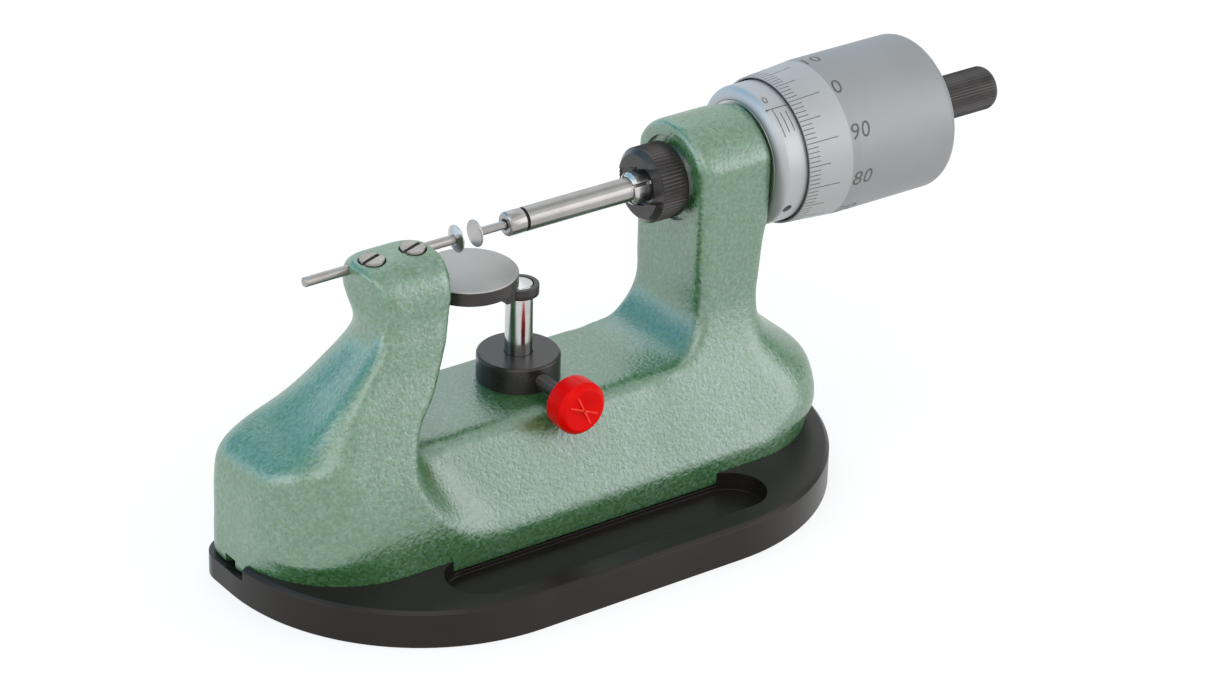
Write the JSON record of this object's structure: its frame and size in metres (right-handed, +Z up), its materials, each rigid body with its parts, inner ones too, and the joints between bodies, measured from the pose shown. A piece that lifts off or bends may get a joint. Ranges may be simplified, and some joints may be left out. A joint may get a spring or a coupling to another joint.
{
  "type": "bench micrometer",
  "caption": "Bench micrometer: enamelled U-shaped cast frame on a black base with a parts tray, clamped disc anvil, large graduated drum head and a small adjustable work table.",
  "frame": {"origin": "underside of the base plate, straight below the measuring axis, in the middle of the plate's length", "axes": "+X along the measuring axis towards the drum, -Y to the front where the tray and the clamp knob are, +Z up"},
  "size_m": [0.1396, 0.0453, 0.0601],
  "materials": {
    "plate": "satin black, fine turned edge",
    "enamel": "green hammertone enamel",
    "steel": "ground and polished",
    "satin_chrome": "satin chrome with engraved lines",
    "black_steel": "blackened",
    "ground_steel": "ground top, blackened rim",
    "red_plastic": "moulded, glossy",
    "brass": "turned"
  },
  "bodies": {
    "frame": {"base_plate": "plate", "base_screws": "steel", "frame_casting": "enamel", "table_bush": "black_steel", "head_barrel": "steel", "adjusting_nut": "steel"},
    "anvil": {"anvil_rod": "steel", "anvil_disc": "steel"},
    "anvil_screw_left": {"anvil_screw_left": "steel"},
    "anvil_screw_right": {"anvil_screw_right": "steel"},
    "spindle_tip": {"spindle_tip": "steel", "tip_disc": "steel"},
    "drum": {"spindle": "steel", "drum": "satin_chrome", "drum_hub": "steel", "knob_screw": "steel"},
    "friction_knob": {"friction_knob": "black_steel", "friction_spring": "steel"},
    "lock_nut": {"lock_nut": "black_steel"},
    "scale_sleeve": {"scale_sleeve": "satin_chrome"},
    "table_post": {"table_post": "steel"},
    "table": {"table_arm": "black_steel", "table_disc": "ground_steel", "table_screw": "steel"},
    "clamp": {"clamp_screw": "black_steel", "clamp_knob": "red_plastic", "clamp_pad": "brass"}
  },
  "joints": [
    {"name": "anvil_slide", "type": "slide", "parent": "frame", "child": "anvil", "axis": [1, 0, 0], "range_m": [-0.0045, 0]},
    {"name": "anvil_screw_left_turn", "type": "hinge", "parent": "frame", "child": "anvil_screw_left", "pos_m": [-0.0277, -0.002, 0.0486], "axis": [0, 0, 1], "range_deg": [-30, 360]},
    {"name": "anvil_screw_right_turn", "type": "hinge", "parent": "frame", "child": "anvil_screw_right", "pos_m": [-0.0207, -0.002, 0.0486], "axis": [0, 0, 1], "range_deg": [-30, 360]},
    {"name": "spindle_slide", "type": "slide", "parent": "frame", "child": "spindle_tip", "axis": [1, 0, 0], "range_m": [-0.00291, 0.00701]},
    {"name": "drum_turn", "type": "hinge", "parent": "spindle_tip", "child": "drum", "pos_m": [0.06, 0, 0.0478], "axis": [1, 0, 0], "range_deg": [-1044, 2520]},
    {"name": "friction_knob_turn", "type": "hinge", "parent": "drum", "child": "friction_knob", "pos_m": [0.08, 0, 0.0478], "axis": [1, 0, 0], "continuous": true},
    {"name": "lock_nut_turn", "type": "hinge", "parent": "frame", "child": "lock_nut", "pos_m": [0.0236, 0, 0.0478], "axis": [1, 0, 0], "range_deg": [-15, 45]},
    {"name": "sleeve_zero", "type": "hinge", "parent": "frame", "child": "scale_sleeve", "pos_m": [0.05, 0, 0.0478], "axis": [1, 0, 0], "range_deg": [-15, 15]},
    {"name": "table_height", "type": "slide", "parent": "frame", "child": "table_post", "axis": [0, 0, 1], "range_m": [-0.0094, 0.0029]},
    {"name": "table_swing", "type": "hinge", "parent": "table_post", "child": "table", "pos_m": [-0.0005, 0, 0.0366], "axis": [0, 0, 1], "continuous": true},
    {"name": "clamp_turn", "type": "hinge", "parent": "frame", "child": "clamp", "pos_m": [-0.0005, -0.0125, 0.0237], "axis": [0, -1, 0], "range_deg": [-360, 30]}
  ],
  "couplings": [
    {"joint": "spindle_slide", "follows": "drum_turn", "m_per_rad": 0.00015915}
  ]
}
